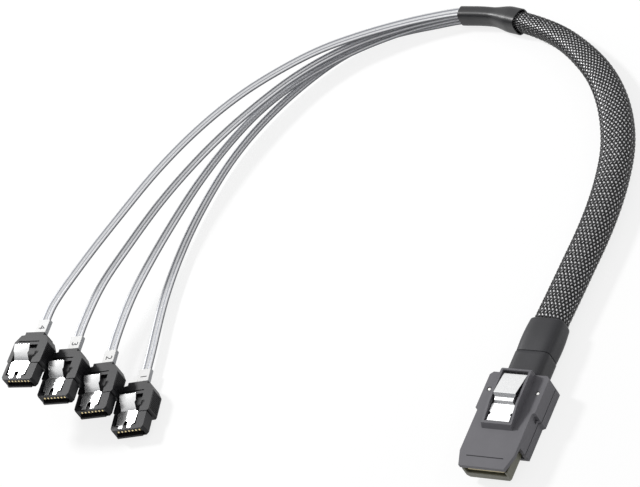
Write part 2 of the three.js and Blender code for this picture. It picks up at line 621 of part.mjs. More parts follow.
function ribbonPoints(place) {
  const [side, level] = PAIR_SLOT[place.number];
  const startY = CARD_BACK_Y + GAP;
  const points = [];
  for (const y of [startY, 36, 46]) points.push([-side * PAIR_SPREAD, y, TRUNK_Z + level * STACK_PITCH]);
  for (let i = 0; i <= TRUNK_STEPS; i += 1) {
    const t = i / TRUNK_STEPS;
    const across = side * PAIR_SPREAD * (1 - smooth((t - 0.55) / 0.27));
    const rise = STACK_PITCH * THREE.MathUtils.lerp(level, STACK_SLOT[place.number], smooth((t - 0.2) / 0.3));
    points.push(besideCurve(trunkCurve, t, across, rise).toArray());
  }
  points.push(...RIBBON_POINTS[place.number]);
  const turn = THREE.MathUtils.degToRad(place.turn);
  const inside = PLUG_SPLIT_Y - GAP / 2 + CORE_LENGTH + GAP;
  for (const y of [PLUG_LENGTH + LABEL_LENGTH + 6, PLUG_LENGTH + LABEL_LENGTH / 2, PLUG_LENGTH, inside]) {
    points.push([place.x - Math.sin(turn) * y, place.y + Math.cos(turn) * y, place.z + CABLE_Z]);
  }
  return points;
}

function ribbonCable(place) {
  const curve = curveThrough(ribbonPoints(place));
  return followPath(ribbonSection(), null, 56, (t, across, rise) => besideCurve(curve, t, across, rise));
}

for (const place of plugPlaces()) {
  const name = `sata${place.number}`;
  const plug = new THREE.Group();
  plug.position.set(place.x, place.y, place.z);
  plug.rotation.z = THREE.MathUtils.degToRad(place.turn);
  addMesh(plug, `${name}_housing`, frontHousing(), blackHousing);
  addMesh(plug, `${name}_rear_body`, rearBody(), blackHousing);
  addMesh(plug, `${name}_contact_wafer`, contactWafer(), gold);
  addMesh(plug, `${name}_latch`, plugLatch(), steel);
  const label = addMesh(plug, `${name}_label`, labelSleeve(LABEL_LENGTH), labelFilm);
  label.position.set(0, PLUG_LENGTH + GAP, CABLE_Z);
  assembly.add(plug);
  addMesh(assembly, `${name}_ribbon`, ribbonCable(place), silverJacket);
}

// Middle of the lower shell's base to the origin
assembly.position.y = -(SAS_MOUTH_Y + SAS_LENGTH) / 2;

export default assembly;
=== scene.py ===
import math

import bmesh
import bpy
from mathutils import Matrix, Vector


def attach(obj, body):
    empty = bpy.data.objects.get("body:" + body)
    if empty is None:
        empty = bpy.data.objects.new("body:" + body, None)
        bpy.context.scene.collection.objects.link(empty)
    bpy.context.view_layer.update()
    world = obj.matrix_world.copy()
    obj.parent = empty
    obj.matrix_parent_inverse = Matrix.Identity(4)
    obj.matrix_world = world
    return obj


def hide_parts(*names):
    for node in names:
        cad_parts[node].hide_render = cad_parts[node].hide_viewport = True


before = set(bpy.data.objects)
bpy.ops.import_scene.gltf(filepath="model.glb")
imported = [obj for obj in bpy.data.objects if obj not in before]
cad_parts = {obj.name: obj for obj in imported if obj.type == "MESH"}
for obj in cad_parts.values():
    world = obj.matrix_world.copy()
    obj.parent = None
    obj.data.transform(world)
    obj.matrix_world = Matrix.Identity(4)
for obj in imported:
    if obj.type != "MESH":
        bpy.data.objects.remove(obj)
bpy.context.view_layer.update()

# Camera. The photograph looks down on the lead from the front right, rolled to the left, through a long lens.
# Its place was fitted to plug corners and cable runs that could be read in the photograph.
VIEW_AZIMUTH = math.radians(50.759)
VIEW_ELEVATION = math.radians(41.957)
VIEW_ROLL = math.radians(-35.811)
VIEW_CENTRE = Vector((-0.098931, 0.060288, 0))
VIEW_DISTANCE = 0.96524
FOCAL_PIXELS = 2999
PHOTO_WIDTH = 640
SENSOR_WIDTH = 36

level = Vector((math.cos(VIEW_AZIMUTH), math.sin(VIEW_AZIMUTH), 0))
toward_camera = Vector((
    math.sin(VIEW_AZIMUTH) * math.cos(VIEW_ELEVATION),
    -math.cos(VIEW_AZIMUTH) * math.cos(VIEW_ELEVATION),
    math.sin(VIEW_ELEVATION)))
upright = toward_camera.cross(level)
camera_right = level * math.cos(VIEW_ROLL) + upright * math.sin(VIEW_ROLL)
camera_up = upright * math.cos(VIEW_ROLL) - level * math.sin(VIEW_ROLL)
camera_place = VIEW_CENTRE + toward_camera * VIEW_DISTANCE


def placed(name, data):
    """A new object in the scene."""
    piece = bpy.data.objects.new(name, data)
    bpy.context.scene.collection.objects.link(piece)
    return piece


camera_data = bpy.data.cameras.new("camera")
camera_data.sensor_width = SENSOR_WIDTH
camera_data.lens = FOCAL_PIXELS * SENSOR_WIDTH / PHOTO_WIDTH
camera_data.clip_start = 0.01
camera = placed("camera", camera_data)
camera.matrix_world = Matrix((
    (camera_right.x, camera_up.x, toward_camera.x, camera_place.x),
    (camera_right.y, camera_up.y, toward_camera.y, camera_place.y),
    (camera_right.z, camera_up.z, toward_camera.z, camera_place.z),
    (0, 0, 0, 1)))
bpy.context.scene.camera = camera

# Braided sleeve. An expandable sleeve of black polyester monofilament, plaited over the ribbon cables in the
# trunk. It is oval at the boot and draws in toward the breakout, where the shrink tube grips it.
MM = 0.001
BASE_SHIFT = -20.75
TRUNK_HEIGHT = 4.1
TRUNK_ROUTE = [
    (0, 54), (0.5, 64), (1, 76), (1.4, 86), (1.2, 97), (0, 108.5), (-2.6, 120.5), (-6.6, 130.5), (-12.4, 140.5),
    (-20, 149.8), (-29.5, 158), (-40, 164.8), (-51.5, 169.6), (-62, 172.4), (-72, 173.8), (-82, 174),
]
UP = Vector((0, 0, 1))
TINY = 1e-9                       # keeps a division away from zero
FINE_STEPS = 1200                 # steps of a line that a stretch is cut from


def spline(points, per_span=40):
    """Centripetal spline through the points, closely sampled."""
    first = points[0] * 2 - points[1]
    last = points[-1] * 2 - points[-2]
    padded = [first, *points, last]
    samples = []
    for i in range(1, len(padded) - 2):
        p0, p1, p2, p3 = padded[i - 1:i + 3]
        d0, d1, d2 = (max((b - a).length ** 0.5, TINY) for a, b in ((p0, p1), (p1, p2), (p2, p3)))
        start = ((p1 - p0) / d0 - (p2 - p0) / (d0 + d1) + (p2 - p1) / d1) * d1
        end = ((p2 - p1) / d1 - (p3 - p1) / (d1 + d2) + (p3 - p2) / d2) * d1
        for k in range(per_span):
            u = k / per_span
            cubic = (p1 - p2) * 2 + start + end
            square = (p2 - p1) * 3 - start * 2 - end
            samples.append(p1 + start * u + square * u ** 2 + cubic * u ** 3)
    samples.append(points[-1].copy())
    return samples


def travelled(samples):
    """Distance along the samples, one number for each."""
    distance = [0.0]
    for a, b in zip(samples, samples[1:]):
        distance.append(distance[-1] + (b - a).length)
    return distance


def evenly(samples, count):
    """The same line as count + 1 points at even distances."""
    distance = travelled(samples)
    points = []
    at = 0
    for k in range(count + 1):
        wanted = distance[-1] * k / count
        while at < len(samples) - 2 and distance[at + 1] < wanted:
            at += 1
        share = (wanted - distance[at]) / max(distance[at + 1] - distance[at], TINY)
        points.append(samples[at].lerp(samples[at + 1], min(max(share, 0), 1)))
    return points


def stations(points):
    """Each point with its sideways direction (left of travel) and the direction that is up beside it."""
    rows = []
    for i, point in enumerate(points):
        ahead = points[min(i + 1, len(points) - 1)]
        behind = points[max(i - 1, 0)]
        tangent = (ahead - behind).normalized()
        side = UP.cross(tangent).normalized()
        rows.append((point, side, tangent.cross(side)))
    return rows


def part_of(samples, low, high, count):
    """A stretch of an even line, between two shares of its length."""
    whole = evenly(samples, FINE_STEPS)
    stretch = whole[round(low * FINE_STEPS):round(high * FINE_STEPS) + 1]
    return evenly(stretch, count)


def smooth(at, start=0.0, span=1.0):
    """Eases from 0 to 1 as at passes from start over the span."""
    share = min(max((at - start) / span, 0), 1)
    return share * share * (3 - 2 * share)


def mix(a, b, share):
    return a + (b - a) * share


trunk_line = spline([Vector((x, y + BASE_SHIFT, TRUNK_HEIGHT)) * MM for x, y in TRUNK_ROUTE])
trunk_length = travelled(trunk_line)[-1]

SLEEVE_WIDTH = 11 * MM
SLEEVE_HEIGHT = 7 * MM
SLEEVE_END_WIDTH = 6.2 * MM
SLEEVE_SQUARENESS = 3.0
SHRINK_LENGTH = 24 * MM
SHRINK_LAP = 5 * MM
TAPER_START = 0.42
STRANDS = 22                      # carriers that run each way round
LAY_LENGTH = 48 * MM              # length of one turn
STRAND_WIDTH = 0.79 * MM
STRAND_LIFT = 0.13 * MM           # how far a strand rises over the one that it crosses
STRAND_CAMBER = 0.1 * MM
STEPS_PER_WAVE = 8
THREADS = 3                       # threads side by side in a strand
EDGE_SHARE = 0.86                 # the oval's edge beside that of the box round it
OVERSAMPLED = 8                   # points tried for each point of an oval

sleeve_end = 1 - (SHRINK_LENGTH - SHRINK_LAP) / trunk_length
sleeve_length = trunk_length * sleeve_end


def sleeve_width(t):
    return mix(SLEEVE_WIDTH, SLEEVE_END_WIDTH, smooth(t, TAPER_START, sleeve_end - TAPER_START))


def oval(width, height, squareness, count):
    """Points of a rounded oval at even distances round its edge, counted from its left side upward."""
    fine = []
    for k in range(count * OVERSAMPLED):
        angle = k / (count * OVERSAMPLED) * math.tau
        x, y = (math.copysign(abs(c) ** (2 / squareness), c) for c in (math.cos(angle), math.sin(angle)))
        fine.append(Vector((x * width / 2, y * height / 2, 0)))
    ring = evenly(fine + [fine[0].copy()], count)
    return [(p.x, p.y) for p in ring[:-1]]


def rgb(code):
    """Linear colour of an sRGB hex code."""
    parts = [int(code[i:i + 2], 16) / 255 for i in (0, 2, 4)]
    return tuple(c / 12.92 if c <= 0.04045 else ((c + 0.055) / 1.055) ** 2.4 for c in parts) + (1.0,)


def feed(tree, node, inputs):
    """Each input is a value or the output socket that feeds it."""
    for name, value in inputs.items():
        socket = node.inputs[name]
        if isinstance(value, bpy.types.NodeSocket):
            tree.links.new(value, socket)
        else:
            socket.default_value = value


def add_node(tree, kind, inputs=None, **settings):
    """A node with its settings and inputs."""
    node = tree.nodes.new(kind)
    for name, value in settings.items():
        setattr(node, name, value)
    feed(tree, node, inputs or {})
    return node


def calc(tree, operation, *values):
    """Result of a Math node."""
    return add_node(tree, "ShaderNodeMath", dict(enumerate(values)), operation=operation).outputs[0]


def across(tree):
    """How far across its piece a point lies, from -1 to 1, as the mesh holds it."""
    return add_node(tree, "ShaderNodeAttribute", attribute_name="across").outputs["Fac"]


def noise(tree, scale, detail, **inputs):
    """Noise fixed to the object, its scale counted in a metre."""
    place = add_node(tree, "ShaderNodeTexCoord").outputs["Object"]
    return add_node(tree, "ShaderNodeTexNoise", {
        "Vector": place, "Scale": scale, "Detail": detail, **inputs}).outputs["Fac"]


def spread(tree, value, low, high):
    """A value from 0 to 1, spread from low to high."""
    return add_node(tree, "ShaderNodeMapRange", {"Value": value, "To Min": low, "To Max": high}).outputs[0]


def shades(tree, share, first, second):
    """A colour between two hex codes."""
    return add_node(
        tree, "ShaderNodeMix", {0: share, 6: rgb(first), 7: rgb(second)}, data_type="RGBA").outputs[2]


def relief(tree, height, depth, strength, **inputs):
    """A bump of a depth in millimetres."""
    return add_node(tree, "ShaderNodeBump", {
        "Height": height, "Distance": depth * MM, "Strength": strength, **inputs}).outputs[0]


def new_material(name):
    """An empty material, its node tree and its shader."""
    material = bpy.data.materials.new(name)
    material.use_nodes = True
    tree = material.node_tree
    return material, tree, tree.nodes["Principled BSDF"]


def plain_mesh(piece):
    """Turns a piece's modifiers and nodes into its own mesh."""
    seen = piece.evaluated_get(bpy.context.evaluated_depsgraph_get())
    mesh = bpy.data.meshes.new_from_object(seen)
    piece.modifiers.clear()
    piece.data = mesh
    return piece


# PET monofilament: glassy black threads lying side by side, so each strand glints in fine lines.
monofilament, tree, shader = new_material("pet_monofilament")
thread_wave = calc(tree, "COSINE", calc(tree, "MULTIPLY", across(tree), math.pi * THREADS))
patches = noise(tree, scale=900.0, detail=2.0)
feed(tree, shader, {
    "Base Color": shades(tree, patches, "0a0a0c", "18181b"),
    "Roughness": spread(tree, patches, 0.22, 0.36),
    "Normal": relief(tree, thread_wave, depth=0.02, strength=0.25),
    "IOR": 1.57,
    "Specular IOR Level": 0.22})


def new_group(name, sockets):
    """A geometry tree that takes these inputs, and the sockets that hold them inside it."""
    tree = bpy.data.node_groups.new(name, "GeometryNodeTree")
    for label, kind in sockets.items():
        tree.interface.new_socket(label, in_out="INPUT", socket_type="NodeSocket" + kind)
    tree.interface.new_socket("Geometry", in_out="OUTPUT", socket_type="NodeSocketGeometry")
    return tree, add_node(tree, "NodeGroupInput").outputs


def end_group(tree, copies, finish):
    """Makes the copies one mesh in one material and hands it out."""
    solid = add_node(tree, "GeometryNodeRealizeInstances", {"Geometry": copies})
    painted = add_node(tree, "GeometryNodeSetMaterial", {"Geometry": solid.outputs[0], "Material": finish})
    add_node(tree, "NodeGroupOutput", {"Geometry": painted.outputs[0]})


def strand_tree():
    """Plaited tube on a straight axis: x is the angle round it, y the height above its middle, z the length."""
    tree, given = new_group("plaited_sleeve", {
        "Strands": "Int", "Steps": "Int", "Length": "Float", "Lay": "Float", "Width": "Float", "Round": "Float",
        "Lift": "Float", "Camber": "Float", "Finish": "Material"})
    joined = add_node(tree, "GeometryNodeJoinGeometry")
    for turn in (1.0, -1.0):
        tape = add_node(tree, "GeometryNodeMeshGrid", {
            "Size X": given["Width"], "Size Y": given["Length"], "Vertices X": 3, "Vertices Y": given["Steps"]})
        spot = add_node(tree, "ShaderNodeSeparateXYZ", {
            0: add_node(tree, "GeometryNodeInputPosition").outputs[0]}).outputs
        aside = calc(tree, "DIVIDE", spot["X"], calc(tree, "MULTIPLY", given["Width"], 0.5))
        along = calc(tree, "ADD", spot["Y"], calc(tree, "MULTIPLY", given["Length"], 0.5))
        turns = calc(tree, "DIVIDE", along, given["Lay"])
        wound = calc(tree, "MULTIPLY", turns, turn)
        angle = calc(tree, "ADD", wound, calc(tree, "DIVIDE", spot["X"], given["Round"]))
        crossings = calc(tree, "MULTIPLY", turns, given["Strands"])
        wave = calc(tree, "COSINE", calc(tree, "MULTIPLY", crossings, math.tau))
        rise = calc(tree, "MULTIPLY", calc(tree, "MULTIPLY", wave, turn), given["Lift"])
        droop = calc(tree, "MULTIPLY", calc(tree, "MULTIPLY", aside, aside), given["Camber"])
        laid = add_node(tree, "ShaderNodeCombineXYZ", {
            "X": angle, "Y": calc(tree, "SUBTRACT", rise, droop), "Z": along})
        strand = add_node(tree, "GeometryNodeSetPosition", {
            "Geometry": tape.outputs["Mesh"], "Position": laid.outputs[0]})
        marked = add_node(tree, "GeometryNodeStoreNamedAttribute", {
            "Geometry": strand.outputs[0], "Name": "across", "Value": aside}, data_type="FLOAT", domain="POINT")
        gap = add_node(tree, "ShaderNodeCombineXYZ", {"X": calc(tree, "DIVIDE", 1.0, given["Strands"])})
        row = add_node(tree, "GeometryNodeMeshLine", {
            "Count": given["Strands"], "Offset": gap.outputs[0]}, mode="OFFSET")
        copies = add_node(tree, "GeometryNodeInstanceOnPoints", {
            "Points": row.outputs[0], "Instance": marked.outputs[0]})
        tree.links.new(copies.outputs[0], joined.inputs[0])
    end_group(tree, joined.outputs[0], given["Finish"])
    return tree


def node_piece(name, tree, values):
    """An object whose mesh comes from a node tree with these inputs, turned into a plain mesh."""
    piece = placed(name, bpy.data.meshes.new(name))
    modifier = piece.modifiers.new(name, "NODES")
    modifier.node_group = tree
    for item in tree.interface.items_tree:
        if item.item_type == "SOCKET" and item.in_out == "INPUT":
            modifier[item.identifier] = values[item.name]
    return plain_mesh(piece)


wave_count = sleeve_length / LAY_LENGTH * STRANDS
braid = node_piece("braided_sleeve_weave", strand_tree(), {
    "Strands": STRANDS, "Steps": round(wave_count * STEPS_PER_WAVE) + 1, "Length": sleeve_length,
    "Lay": LAY_LENGTH, "Width": STRAND_WIDTH, "Round": 2 * (SLEEVE_WIDTH + SLEEVE_HEIGHT) * EDGE_SHARE,
    "Lift": STRAND_LIFT, "Camber": STRAND_CAMBER, "Finish": monofilament})

# The straight plait is laid round the oval trunk: its angle and length become a place on the trunk's surface.
RING = 96
SLEEVE_STEPS = 240
STRAND_ROOM = 0.05 * MM           # between a strand's highest points and the sleeve's outer size

sleeve_stations = stations(part_of(trunk_line, 0, sleeve_end, SLEEVE_STEPS))
sleeve_rings = []
strand_inset = 2 * (STRAND_LIFT + STRAND_ROOM)
for k in range(SLEEVE_STEPS + 1):
    width = sleeve_width(k / SLEEVE_STEPS * sleeve_end)
    sleeve_rings.append(oval(width - strand_inset, SLEEVE_HEIGHT - strand_inset, SLEEVE_SQUARENESS, RING))


def on_sleeve(turns, height, along):
    """The place this far round and along the sleeve, moved outward by the height."""
    at = min(max(along / sleeve_length * SLEEVE_STEPS, 0), SLEEVE_STEPS - TINY)
    low = int(at)
    place_round = (turns % 1) * RING
    first = int(place_round) % RING
    part = place_round - int(place_round)
    after = (first + 1) % RING
    spots = []
    for k in (low, low + 1):
        ring = sleeve_rings[k]
        x = mix(ring[first][0], ring[after][0], part)
        y = mix(ring[first][1], ring[after][1], part)
        run_x = ring[after][0] - ring[first][0]
        run_y = ring[after][1] - ring[first][1]
        length = max(math.hypot(run_x, run_y), TINY)
        x += run_y / length * height
        y -= run_x / length * height
        centre, side, up = sleeve_stations[k]
        spots.append(centre + side * x + up * y)
    return spots[0].lerp(spots[1], at - low)


for vertex in braid.data.vertices:
    vertex.co = on_sleeve(vertex.co.x, vertex.co.y, vertex.co.z)
for polygon in braid.data.polygons:
    polygon.use_smooth = True


def seat(piece, body, slot, *nodes):
    """Fixes a piece to the body that it moves with and hides the CAD nodes that it stands for, if any."""
    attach(piece, body)
    if nodes:
        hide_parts(*nodes)
    return piece


trunk_body = "cable"
seat(braid, trunk_body, "braid", "braided_sleeve")

# Foil wrap. A single layer of bright aluminium foil tape wound round the ribbons inside the sleeve. It shows as
# silver flecks in the gaps of the plait.
WRAP_DEPTH = 0.22 * MM
WRAP_START = 0.004
WRAP_STEPS = 120
WRAP_FILM = 0.05 * MM
WRAP_RING = 64


def ringed(name, rings, joined=False):
    """A mesh with a wall of four-sided faces from each ring of points to the next. The first and last ring are
    closed, or joined to each other."""
    count = len(rings[0])
    faces = []
    for i in range(len(rings) if joined else len(rings) - 1):
        j = (i + 1) % len(rings)
        for k in range(count):
            m = (k + 1) % count
            faces.append((i * count + k, i * count + m, j * count + m, j * count + k))
    if not joined:
        faces.append(tuple(range(count)))
        faces.append(tuple(range((len(rings) - 1) * count, len(rings) * count)))
    mesh = bpy.data.meshes.new(name)
    mesh.from_pydata([p for ring in rings for p in ring], [], faces)
    return mesh


def turn_outward(mesh):
    """Turns a mesh's faces so that they all face out of it."""
    work = bmesh.new()
    work.from_mesh(mesh)
    bmesh.ops.recalc_face_normals(work, faces=work.faces)
    work.to_mesh(mesh)
    work.free()


def as_piece(name, mesh, material, flat_above=40):
    """A piece from a mesh, with its faces turned outward and its curved faces shaded smooth."""
    turn_outward(mesh)
    mesh.materials.clear()
    mesh.materials.append(material)
    for polygon in mesh.polygons:
        polygon.use_smooth = True
    mesh.set_sharp_from_angle(angle=math.radians(flat_above))
    return placed(name, mesh)


def tube(name, rings, inner_rings, material):
    """Closed tube wall from outer rings and inner rings, each a list of points."""
    return as_piece(name, ringed(name, [*rings, *reversed(inner_rings)], joined=True), material)


# Aluminium foil tape: bright and slightly crumpled, so some gaps of the plait glint more than others.
foil_tape, tree, shader = new_material("aluminium_foil_tape")
crumple = noise(tree, scale=420.0, detail=2.0)
feed(tree, shader, {
    "Base Color": shades(tree, crumple, "dcdde0", "fafafa"),
    "Normal": relief(tree, crumple, depth=0.2, strength=0.4),
    "Metallic": 0.3,
    "Roughness": 0.45})

wrap_rings = []
wrap_inner = []
for k, (centre, side, up) in enumerate(stations(part_of(trunk_line, WRAP_START, sleeve_end, WRAP_STEPS))):
    t = mix(WRAP_START, sleeve_end, k / WRAP_STEPS)
    for rings, inset in ((wrap_rings, 0), (wrap_inner, WRAP_FILM)):
        shrunk = 2 * (STRAND_LIFT + WRAP_DEPTH + inset)
        ring = oval(sleeve_width(t) - shrunk, SLEEVE_HEIGHT - shrunk, SLEEVE_SQUARENESS, WRAP_RING)
        rings.append([centre + side * x + up * y for x, y in ring])
seat(tube("foil_wrap", wrap_rings, wrap_inner, foil_tape), trunk_body, "ribbon_jacket")

# Shrink tube. Black polyolefin tube, shrunk over the end of the sleeve and over the four ribbons where they
# leave it. It steps down off the sleeve and follows the stack of ribbons.
SHRINK_WIDTH = 5.1 * MM
SHRINK_HEIGHT = 6.5 * MM
SHRINK_WALL = 0.35 * MM
SHRINK_SQUARENESS = 3.2
SHRINK_STEPS = 70
SHRINK_RING = 56
STEP_START = 0.16                 # where the tube leaves the sleeve, as a share of its length
STEP_SPAN = 0.34
SLANT = 0.4 * MM                  # how far the tube's cut end leans
SLANT_SPAN = 0.2
FLOOR_ROOM = 0.08 * MM            # the lap stays this far above the bench
GAP = 0.3                         # millimetres between pieces that touch

# Shrunk polyolefin: satin black with the faint waves that the hot air leaves.
polyolefin, tree, shader = new_material("shrunk_polyolefin")
waves = noise(tree, scale=260.0, detail=3.0)
skin = noise(tree, scale=2600.0, detail=2.0)
feed(tree, shader, {
    "Base Color": shades(tree, waves, "161618", "232326"),
    "Roughness": spread(tree, waves, 0.3, 0.45),
    "Normal": relief(
        tree, skin, depth=0.02, strength=0.5, Normal=relief(tree, waves, depth=0.12, strength=0.5)),
    "IOR": 1.49})

shrink_start = sleeve_end - SHRINK_LAP / trunk_length
lap_clear = 2 * (GAP * MM + SHRINK_WALL)
lap_width = sleeve_width(shrink_start) + lap_clear
lap_height = min(SLEEVE_HEIGHT + lap_clear, 2 * (TRUNK_HEIGHT * MM - FLOOR_ROOM))
outer_rings = []
inner_rings = []
for k, (centre, side, up) in enumerate(stations(part_of(trunk_line, shrink_start, 1, SHRINK_STEPS))):
    u = k / SHRINK_STEPS
    open_share = 1 - smooth(u, STEP_START, STEP_SPAN)
    width = mix(SHRINK_WIDTH, lap_width, open_share)
    height = mix(SHRINK_HEIGHT, lap_height, open_share)
    ahead = up.cross(side)
    for rings, wall in ((outer_rings, 0), (inner_rings, SHRINK_WALL)):
        ring = []
        for x, y in oval(width - 2 * wall, height - 2 * wall, SHRINK_SQUARENESS, SHRINK_RING):
            lean = (x / width + y / height) * SLANT * (1 - smooth(u / SLANT_SPAN))
            ring.append(centre + side * x + up * y - ahead * lean)
        rings.append(ring)
shrink = tube("breakout_tube", outer_rings, inner_rings, polyolefin)
seat(shrink, trunk_body, "shrink_tube", "breakout_shrink")

# Ribbon cables. Each is two foil-shielded pairs side by side in one clear jacket over silver foil, flat and
# springy. They start at the card in the wide plug, run through the trunk and fan out to the drive plugs.
RIBBON_WIDTH = 3.7 * MM
RIBBON_THICKNESS = 1.05 * MM
RIBBON_WEB = 0.4 * MM
STACK_PITCH = 1.32
PAIR_SPREAD = 2
CARD_BACK = 19
PLUG_LENGTH = 18.5
PLUG_WIDTH = 13
PLUG_STEP = 5.9
PLUG_OVERHANG = 1.5
PLUG_CABLE_HEIGHT = 2.8
CORE_END = 12.15
LABEL_LENGTH = 6
LABEL_LEAD = 6                    # the cable stays straight this far behind its label
BOOT_RUN = (36, 46)               # where the ribbons run straight through the boot
TRUNK_STEPS = 26
PAIR_GATHER = (0.55, 0.27)        # start and span, as shares of the trunk, of the two stacks' move to the middle
STACK_CLIMB = (0.2, 0.3)          # and of each ribbon's rise to its own layer
RIBBON_ROUTES = {
    4: [(-92.5, 171.6, 6.3), (-103, 168, 6.8), (-116, 162, 7.8), (-128.3, 154.3, 9.1), (-139, 143.9, 10.7),
        (-148.5, 130.9, 12.7), (-156.2, 115, 14.8), (-162, 95.5, 17.2), (-166.4, 73, 19.2), (-170.4, 52, 20.3)],
    3: [(-92.5, 171.4, 4.95), (-103, 167.6, 5.2), (-115.5, 161.3, 5.8), (-126.5, 153, 6.5), (-136, 142.4, 7.4),
        (-144.4, 128, 8.8), (-150.4, 114.6, 10.1), (-155, 100.5, 11.4), (-158.8, 84.3, 12.7), (-161.4, 66, 13.9),
        (-163.4, 49, 14.5)],
    2: [(-92.5, 171.3, 3.55), (-103, 167.3, 3.65), (-115, 160.8, 3.9), (-126.3, 152.3, 4.3), (-136.6, 141.8, 4.8),
        (-143.8, 130.2, 5.4), (-149, 115.6, 6.1), (-152.4, 98.2, 7), (-154, 80, 7.8), (-154.7, 62, 8.4),
        (-154.4, 48, 8.7)],
    1: [(-92.5, 171.6, 2.1), (-103, 168.8, 2.1), (-112.8, 165, 2.1), (-124.6, 156.3, 2.2), (-134.9, 143.1, 2.3),
        (-143.5, 126.2, 2.4), (-148.1, 110, 2.5), (-150, 89.4, 2.6), (-149.4, 72, 2.7), (-146.6, 53, 2.8)],
}
STACK_SLOT = {4: 1.5, 3: 0.5, 2: -0.5, 1: -1.5}
PAIR_SLOT = {4: (1, 0.5), 3: (-1, 0.5), 2: (1, -0.5), 1: (-1, -0.5)}

# Each drive plug lies one step higher than the last and over its left rim.
plug_places = {1: (-133.5, 1.2, 0.0, 14.0)}
for number, (setback, turn) in {2: (5.0, 12.5), 3: (2.7, 9.5), 4: (3.2, 6.5)}.items():
    last_x, last_y, last_z, last_turn = plug_places[number - 1]
    angle = math.radians(last_turn)
    sideways = PLUG_OVERHANG - PLUG_WIDTH
    plug_places[number] = (
        last_x + math.cos(angle) * sideways - math.sin(angle) * setback,
        last_y + math.sin(angle) * sideways + math.cos(angle) * setback,
        last_z + PLUG_STEP, turn)


def plug_matrix(number):
    """Turns millimetres beside a drive plug into metres in the row's frame."""
    x, y, z, turn = plug_places[number]
    return (Matrix.Translation(Vector((x, y + BASE_SHIFT, z)) * MM)
            @ Matrix.Rotation(math.radians(turn), 4, "Z") @ Matrix.Scale(MM, 4))


def ribbon_route(number):
    """Line of a ribbon's middle, from the card through the boot and the trunk to its drive plug."""
    side_slot, level = PAIR_SLOT[number]
    points = [
        Vector((-side_slot * PAIR_SPREAD, y + BASE_SHIFT, TRUNK_HEIGHT + level * STACK_PITCH)) * MM
        for y in (CARD_BACK + GAP, *BOOT_RUN)]
    for i, (centre, side, up) in enumerate(stations(evenly(trunk_line, TRUNK_STEPS))):
        t = i / TRUNK_STEPS
        aside = side_slot * PAIR_SPREAD * (1 - smooth(t, *PAIR_GATHER))
        rise = STACK_PITCH * mix(level, STACK_SLOT[number], smooth(t, *STACK_CLIMB))
        points.append(centre + side * aside * MM + up * rise * MM)
    points += [Vector((x, y + BASE_SHIFT, z)) * MM for x, y, z in RIBBON_ROUTES[number]]
    plug = plug_matrix(number)
    for y in (PLUG_LENGTH + LABEL_LENGTH + LABEL_LEAD, PLUG_LENGTH + LABEL_LENGTH / 2, PLUG_LENGTH, CORE_END):
        points.append(plug @ Vector((0, y, PLUG_CABLE_HEIGHT)))
    return spline(points, per_span=20)


# Silver foil under a clear jacket: bright and slightly crinkled, with painted shade across it: a grey band down
# each core and darker edges, one edge darkest.
foil_jacket, tree, shader = new_material("silver_foil_jacket")
painted_core_shade = add_node(tree, "ShaderNodeValToRGB", {"Fac": add_node(
    tree, "ShaderNodeMapRange", {"Value": across(tree), "From Min": -1.0}).outputs[0]})
ramp = painted_core_shade.color_ramp
ramp.elements[0].position = 0.0
ramp.elements[0].color = rgb("8f9196")
ramp.elements[1].position = 1.0
ramp.elements[1].color = rgb("5c5d62")
# Painted shade: grey bands on the cores and darker edges, set by how far across the ribbon a point lies.
for where, shade in ((0.05, "d9dadd"), (0.17, "e9eaec"), (0.23, "8e9096"), (0.34, "84868c"), (0.40, "e4e5e8"),
                     (0.52, "eeeff0"), (0.60, "d5d6da"), (0.66, "84868c"), (0.76, "8e9096"), (0.82, "ececee"),
                     (0.93, "e2e3e6"), (0.965, "7b7d82")):
    ramp.elements.new(where).color = rgb(shade)
crinkle = noise(tree, scale=700.0, detail=3.0)
feed(tree, shader, {
    "Base Color": painted_core_shade.outputs["Color"],
    "Roughness": spread(tree, crinkle, 0.22, 0.38),
    "Normal": relief(tree, crinkle, depth=0.02, strength=0.12),
    "Metallic": 0.35,
    "Coat Weight": 0.4,
    "Coat Roughness": 0.12})

RIBBON_STEPS = 260
ROUNDING_STEPS = 16
LOBE_SQUARENESS = 2.4
RIBBON_CREASE = 60                # degrees above which an edge of the jacket stays sharp


def ribbon_ring():
    """Two round cores with a thin web between them: distance across and height of each point."""
    lobe = RIBBON_WIDTH / 4
    top = []
    for k in range(ROUNDING_STEPS + 1):
        x = -math.cos(k / ROUNDING_STEPS * math.pi) * RIBBON_WIDTH / 2
        inside = min(abs(abs(x) - lobe) / lobe, 1)
        bulge = math.sqrt(max(1 - inside ** LOBE_SQUARENESS, 0)) * RIBBON_THICKNESS / 2
        web = RIBBON_WEB / 2 if abs(x) < lobe else 0
        top.append((x, max(bulge, web)))
    return top + [(x, -h) for x, h in reversed(top[1:-1])]


def mark_across(mesh, values):
    """Lets a mesh hold how far across its piece each point lies."""
    mesh.attributes.new("across", "FLOAT", "POINT").data.foreach_set("value", values)


ring = ribbon_ring()
for number in (1, 2, 3, 4):
    line = ribbon_route(number)
    ribbon_rings = []
    for centre, side, up in stations(evenly(line, RIBBON_STEPS)):
        ribbon_rings.append([centre + side * x + up * y for x, y in ring])
    ribbon_mesh = ringed(f"ribbon_cable_{number}", ribbon_rings)
    mark_across(ribbon_mesh, [x / (RIBBON_WIDTH / 2) for x, _ in ring] * len(ribbon_rings))
    ribbon = as_piece(f"ribbon_cable_{number}", ribbon_mesh, foil_jacket, RIBBON_CREASE)
    seat(ribbon, trunk_body, "ribbon_jacket", f"sata{number}_ribbon")
